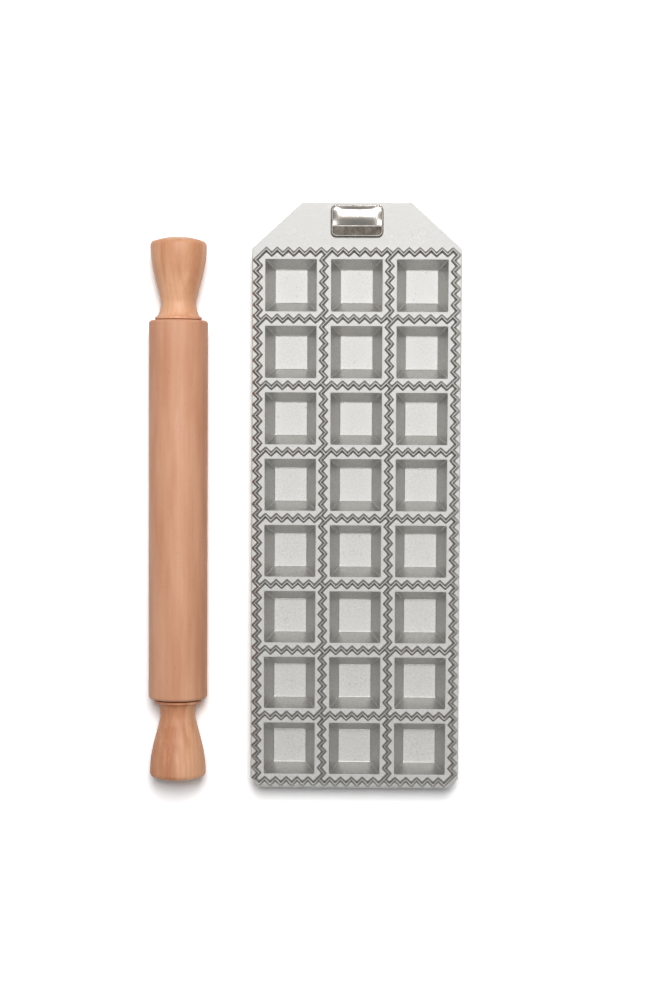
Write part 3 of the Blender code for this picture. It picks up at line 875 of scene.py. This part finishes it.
pin = {
    "axle": 6 * mm,
    "axleChamfer": 0.6 * mm,
    "bushBore": 3.3 * mm,
    "bushBody": 5.7 * mm,
    "bushSeat": 6 * mm,           # radii, like the bush's other sizes; the axle's is its diameter
    "flange": 8 * mm,
    "flangeThickness": 1.2 * mm,
    "boreClearance": 0.6 * mm,    # between the axle and the bored wood
    "seatClearance": 0.3 * mm,    # round the flange and behind the bush
    "ease": 0.2 * mm,
    "barrelRound": 1.8 * mm,
    "barrelRoundSteps": 8,
    "barrelSteps": 128,
    "smallSteps": 64,
}
bushFinish = {
    "colour": (0.80, 0.785, 0.74),
    "roughness": 0.42,
    "metallic": 0.0,
    "size": 2.5 * mm,
    "tones": ((0.76, 0.74, 0.69), (0.83, 0.82, 0.78)),
    "gloss": (0.36, 0.5),
    "glow": 0.15,
    "glowReach": (1 * mm, 1 * mm, 0.8 * mm),
}
axleFinish = {
    "colour": (0.58, 0.58, 0.59),
    "roughness": 0.26,
    "metallic": 1.0,
    "lines": (0.3 * mm, 30 * mm),
    "tones": ((0.50, 0.50, 0.51), (0.64, 0.64, 0.64)),
    "gloss": (0.2, 0.36),
}


def buildBarrel():
    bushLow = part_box("roller_bush_head")[0]
    bushEnd = bushLow.y - pinCentre.y - pin["seatClearance"]
    bore = pin["axle"] / 2 + pin["boreClearance"]
    flange = pin["flange"] + pin["seatClearance"]
    flangeSeat = barrelHalf - pin["flangeThickness"]
    rim = pin["barrelRound"]
    seat, ease = pin["bushSeat"], pin["ease"]
    profile = [(bore, bushEnd), (seat, bushEnd), (seat, flangeSeat), (flange, flangeSeat)]
    profile += [(flange, barrelHalf - ease), (flange + ease, barrelHalf)]
    profile += arcPoints((barrelRadius - rim, barrelHalf - rim), rim, 90, 0, pin["barrelRoundSteps"])
    profile += [(radius, -height) for radius, height in reversed(profile)]
    bm = bmesh.new()
    spinProfile(bm, profile, pin["barrelSteps"], toHead)
    meshPiece("beechBarrel", bm, "pin_barrel", ["roller_barrel"], [barrelBeech])
    print("barrel made")


def buildBush(name, node, place, material):
    low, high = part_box(node)
    inner, face = sorted((abs(low.y - pinCentre.y), abs(high.y - pinCentre.y)))
    under = face - pin["flangeThickness"]
    bore, body, flange, ease = pin["bushBore"], pin["bushBody"], pin["flange"], pin["ease"]
    profile = [(bore + ease, face), (flange - ease, face), (flange, face - ease)]
    profile += [(flange, under), (body, under), (body, inner + ease)]
    profile += [(body - ease, inner), (bore, inner), (bore, face - ease)]
    bm = bmesh.new()
    spinProfile(bm, profile, pin["smallSteps"], place)
    meshPiece(name, bm, "pin_barrel", [node], [material])


def buildAxle(material):
    low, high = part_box("roller_axle")
    end = (high.y - low.y) / 2
    radius = pin["axle"] / 2
    chamfer = pin["axleChamfer"]
    half = [(0, end), (radius - chamfer, end), (radius, end - chamfer)]
    profile = half + [(r, -z) for r, z in reversed(half)]
    bm = bmesh.new()
    spinProfile(bm, profile, pin["smallSteps"], toHead)
    meshPiece("steelAxle", bm, "pin_frame", ["roller_axle"], [material])


buildBarrel()
bushNylon, nylonShader = tonedMaterial("naturalNylon", bushFinish)
nylonShader.inputs["Subsurface Weight"].default_value = bushFinish["glow"]
nylonShader.inputs["Subsurface Radius"].default_value = bushFinish["glowReach"]
buildBush("bush_head", "roller_bush_head", toHead, bushNylon)
buildBush("bush_tail", "roller_bush_tail", toTail, bushNylon)
buildAxle(tonedMaterial("drawnSteel", axleFinish)[0])
print("bushes and axle made")


# Handles: domed cap, swelling grip, thin neck, cove and a rounded collar ring

handle = {
    "length": 44.6 * mm,
    "gap": 0.6 * mm,
    "play": 0.2 * mm,             # how far both collars stand towards the plain end
    "collar": 12.75 * mm,
    "collarWidth": 1.4 * mm,
    "collarStep": 0.14 * mm,
    "collarRound": 0.5 * mm,
    "neck": 9.6 * mm,
    "neckPlace": 9.4 * mm,
    "grip": 15.3 * mm,
    "gripPlace": 39.7 * mm,
    "fullness": 1.2,
    "endInset": 0.2 * mm,         # how much thinner the grip is again where its cap starts
    "endStep": 0.34 * mm,         # the fine turned line round the cap
    "capEdge": 0.6 * mm,
    "capOverlap": 0.4,            # of the cap's edge: how far above the cap's foot the dome ends
    "capHeight": 2.8 * mm,
    "bore": 3.3 * mm,
    "boreDepth": 26.3 * mm,
    "capSteps": 12,
    "edgeSteps": 6,
    "gripSteps": 40,
    "coveSteps": 12,
    "steps": 96,
}


def capProfile(tip):
    edge = handle["capEdge"]
    radius = handle["grip"] - handle["endInset"] - handle["endStep"] - edge
    fall = handle["capHeight"] - edge * handle["capOverlap"]
    shares = [k / handle["capSteps"] for k in range(handle["capSteps"] + 1)]
    dome = [(radius * share, tip - fall * share * share) for share in shares]
    edgeCentre = (radius, tip - handle["capHeight"] - edge)
    return dome + arcPoints(edgeCentre, edge, 68, 8, handle["edgeSteps"])


def gripProfile(face, tip):
    # from the cap down to the widest place, then in a swell to the neck
    neck, grip = handle["neck"], handle["grip"]
    widest = face + handle["gripPlace"]
    neckAt = face + handle["neckPlace"]
    capFoot = tip - handle["capHeight"] - handle["capEdge"] - handle["endStep"]
    profile = []
    for k in range(handle["edgeSteps"] + 1):
        share = 1 - k / handle["edgeSteps"]
        profile.append((grip - handle["endInset"] * share * share, widest + (capFoot - widest) * share))
    for k in range(1, handle["gripSteps"] + 1):
        share = 1 - k / handle["gripSteps"]
        swell = math.sin(math.pi / 2 * share) ** handle["fullness"]
        profile.append((neck + (grip - neck) * swell, neckAt + (widest - neckAt) * share))
    return profile


def collarProfile(face, inner):
    neck, collar, ring = handle["neck"], handle["collar"], handle["collarRound"]
    neckAt = face + handle["neckPlace"]
    coveTop = collar - handle["collarStep"]
    coveEnd = inner + handle["collarWidth"]
    profile = []
    for k in range(1, handle["coveSteps"] + 1):
        angle = math.pi / 2 * k / handle["coveSteps"]
        radius = coveTop + (neck - coveTop) * math.cos(angle)
        profile.append((radius, neckAt + (coveEnd - neckAt) * math.sin(angle)))
    profile += arcPoints((collar - ring, coveEnd - ring), ring, 60, 0, 4)
    profile += arcPoints((collar - ring, inner + ring), ring, 0, -90, 5)
    return profile


def buildHandle(name, node, place, play, wood):
    face = barrelHalf + handle["gap"]
    tip = face + handle["length"]
    inner = face + play
    bore = handle["bore"]
    boreEnd = face + handle["boreDepth"]
    profile = capProfile(tip) + gripProfile(face, tip) + collarProfile(face, inner)
    profile += [(bore, inner), (bore, boreEnd), (0, boreEnd)]
    bm = bmesh.new()
    spinProfile(bm, profile, handle["steps"], place)
    meshPiece(name, bm, "pin_frame", [node], [wood], smoothAngle=30)


buildHandle("handle_head", "roller_handle_head", toHead, -handle["play"], headBeech)
buildHandle("handle_tail", "roller_handle_tail", toTail, handle["play"], tailBeech)
print("handles made")


# Studio: pale floor that curves up far away, one soft light from beyond the badge end, even fill

studio = {
    "floorReach": 6.0,
    "floorSteps": 96,
    "sweepHeight": 1.2,           # of the floor's curved far edge, which hides the horizon
    "sweepSteps": 12,
    "whiteSpan": (0.35, 0.9),     # metres from the middle, over which the floor fades to white
    "floorTone": (0.86, 0.86, 0.86, 1),
    "floorSeen": (1.30, 1.30, 1.30, 1),
    "floorWhite": (1, 1, 1, 1),
    "fill": 0.20,
    "keyPower": 24.8,
    "keySize": (0.55, 0.72),
    "keyPlace": (0.09, 0.575, 1.58),
    "keyTarget": (0.0, 0.0, 0.0),
}
cameraView = {
    "place": (0.0309, 0.0408, 1.0280),
    "tilt": (-0.04201, 0.01499, 0.00500),
    "lens": 66.94,
    "clip": (0.05, 20),
}


def mixShaders(material, factor, first, second):
    mix = addNode(material, "ShaderNodeMixShader")
    for socket, source in zip(mix.inputs, (factor, first, second)):
        wire(material, source, socket)
    return mix.outputs["Shader"]


def floorPaper():
    # lights the object as pale paper, but the camera and reflections see it brighter, fading to white
    material = bpy.data.materials.new("floorPaper")
    material.use_nodes = True
    nodes = material.node_tree.nodes
    nodes.remove(nodes["Principled BSDF"])
    path = addNode(material, "ShaderNodeLightPath")
    seen = combineValues(material, "MAXIMUM", path.outputs["Is Camera Ray"], path.outputs["Is Glossy Ray"])
    seen = combineValues(material, "MAXIMUM", seen, path.outputs["Is Transmission Ray"])
    plain = addNode(material, "ShaderNodeBsdfDiffuse", Color=studio["floorTone"])
    bright = addNode(material, "ShaderNodeBsdfDiffuse", Color=studio["floorSeen"])
    blank = addNode(material, "ShaderNodeEmission", Color=studio["floorWhite"], Strength=1.0)
    away = addNode(material, "ShaderNodeVectorMath", operation="LENGTH")
    wire(material, objectPoints(material), away.inputs[0])
    fade = remap(material, away.outputs["Value"], studio["whiteSpan"])
    faded = mixShaders(material, fade, bright.outputs["BSDF"], blank.outputs["Emission"])
    mixed = mixShaders(material, seen, plain.outputs["BSDF"], faded)
    wire(material, mixed, nodes["Material Output"].inputs["Surface"])
    return material


def buildFloor():
    reach = studio["floorReach"]
    height = studio["sweepHeight"]
    sweep = arcPoints((reach - height, height), height, -90, 0, studio["sweepSteps"])
    bm = bmesh.new()
    spinProfile(bm, [(0, 0)] + sweep, studio["floorSteps"], Matrix())
    faceUpwards(bm)
    for face in bm.faces:
        face.smooth = True
    floor = linkObject("floor", meshFrom("floor", bm))
    floor.data.materials.append(floorPaper())


def buildLights():
    world = bpy.data.worlds.new("studioFill")
    world.use_nodes = True
    background = world.node_tree.nodes["Background"]
    background.inputs["Color"].default_value = (1, 1, 1, 1)
    background.inputs["Strength"].default_value = studio["fill"]
    bpy.context.scene.world = world
    lamp = bpy.data.lights.new("keySoftbox", "AREA")
    lamp.shape = "RECTANGLE"
    lamp.size, lamp.size_y = studio["keySize"]
    lamp.energy = studio["keyPower"]
    key = linkObject("keySoftbox", lamp)
    key.location = studio["keyPlace"]
    aim = Vector(studio["keyTarget"]) - key.location
    key.rotation_euler = aim.to_track_quat("-Z", "Y").to_euler()


def buildCamera():
    lens = bpy.data.cameras.new("photoCamera")
    lens.lens = cameraView["lens"]
    lens.clip_start, lens.clip_end = cameraView["clip"]
    camera = linkObject("photoCamera", lens)
    camera.location = cameraView["place"]
    camera.rotation_euler = cameraView["tilt"]
    bpy.context.scene.camera = camera


buildFloor()
buildLights()
buildCamera()
bpy.context.scene.view_settings.view_transform = "Standard"
print("studio and camera set")
